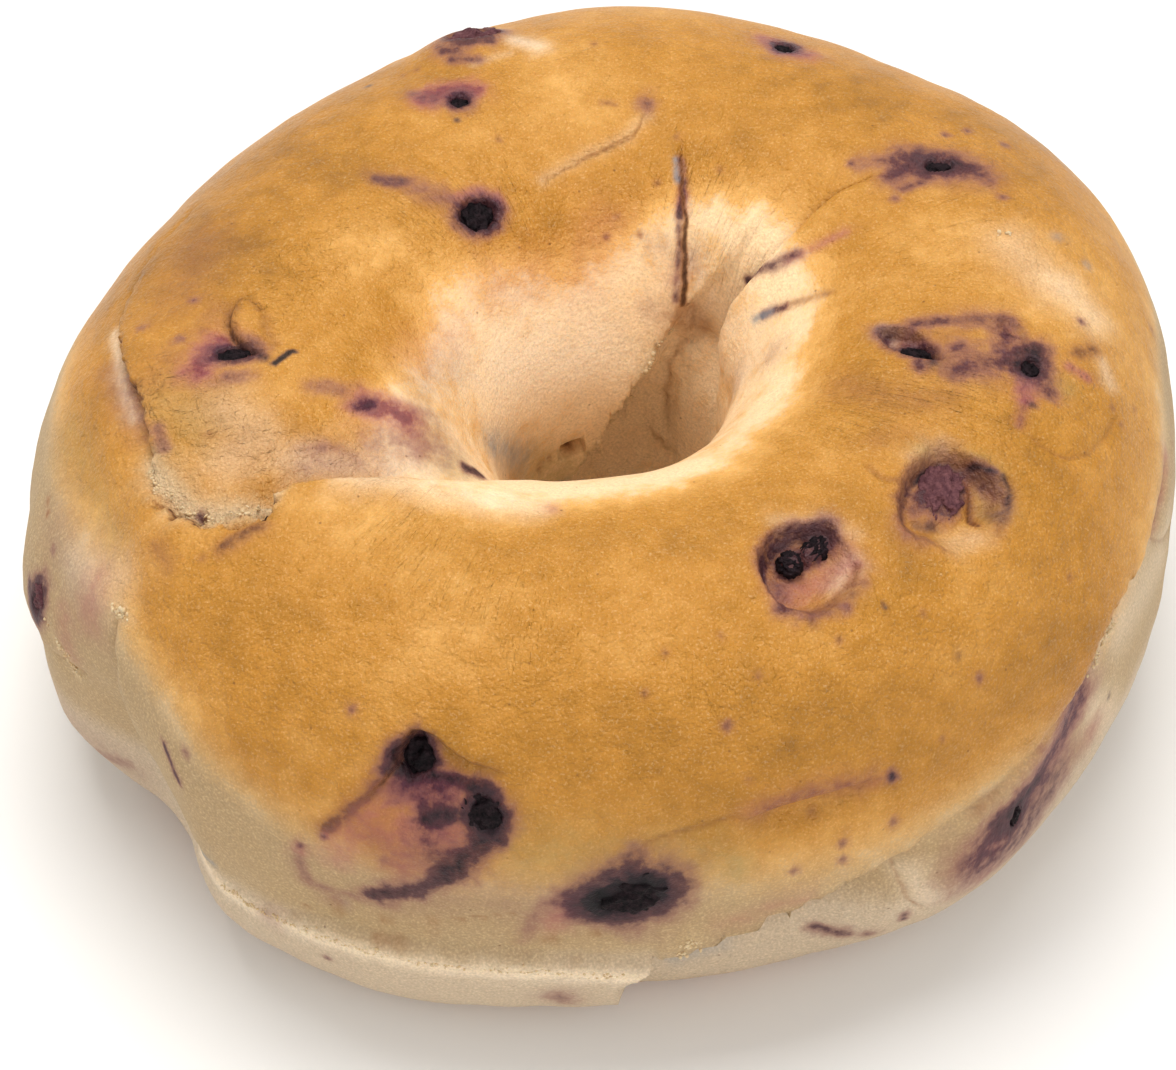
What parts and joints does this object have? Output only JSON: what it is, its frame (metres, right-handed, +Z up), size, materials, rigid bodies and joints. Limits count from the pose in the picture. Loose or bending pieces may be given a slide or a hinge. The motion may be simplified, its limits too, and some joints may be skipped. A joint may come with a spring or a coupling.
{
  "type": "bagel",
  "caption": "Bagel baked with dark berries in its dough: a plump, uneven ring with overlapping laps, torn seams, small craters and a flat foot.",
  "frame": {"origin": "on the surface that the bagel rests on, under the middle of its outline", "axes": "+Z up out of the crown, +X to the right across the widest reach of the ring, +Y to the back, away from the side with the rolled foot band"},
  "size_m": [0.1154, 0.1132, 0.0491],
  "materials": {
    "crust": "baked bread crust, satin on the crown and dull at the sides",
    "berry": "wrinkled skin of a baked dark berry, dull to satin"
  },
  "bodies": {
    "root": {"dough": "crust", "berry_tongue": "berry", "berry_back_left": "berry", "berry_back_edge": "berry", "berry_back": "berry", "berry_right_back": "berry", "berry_lap": "berry", "berry_lens": "berry", "berry_right": "berry", "berry_crater_right": "berry", "berry_crater_front": "berry", "berry_crater_bit": "berry", "berry_front_upper": "berry", "berry_front_side": "berry", "berry_front_low": "berry", "berry_foot": "berry", "berry_left_edge": "berry"}
  },
  "joints": []
}
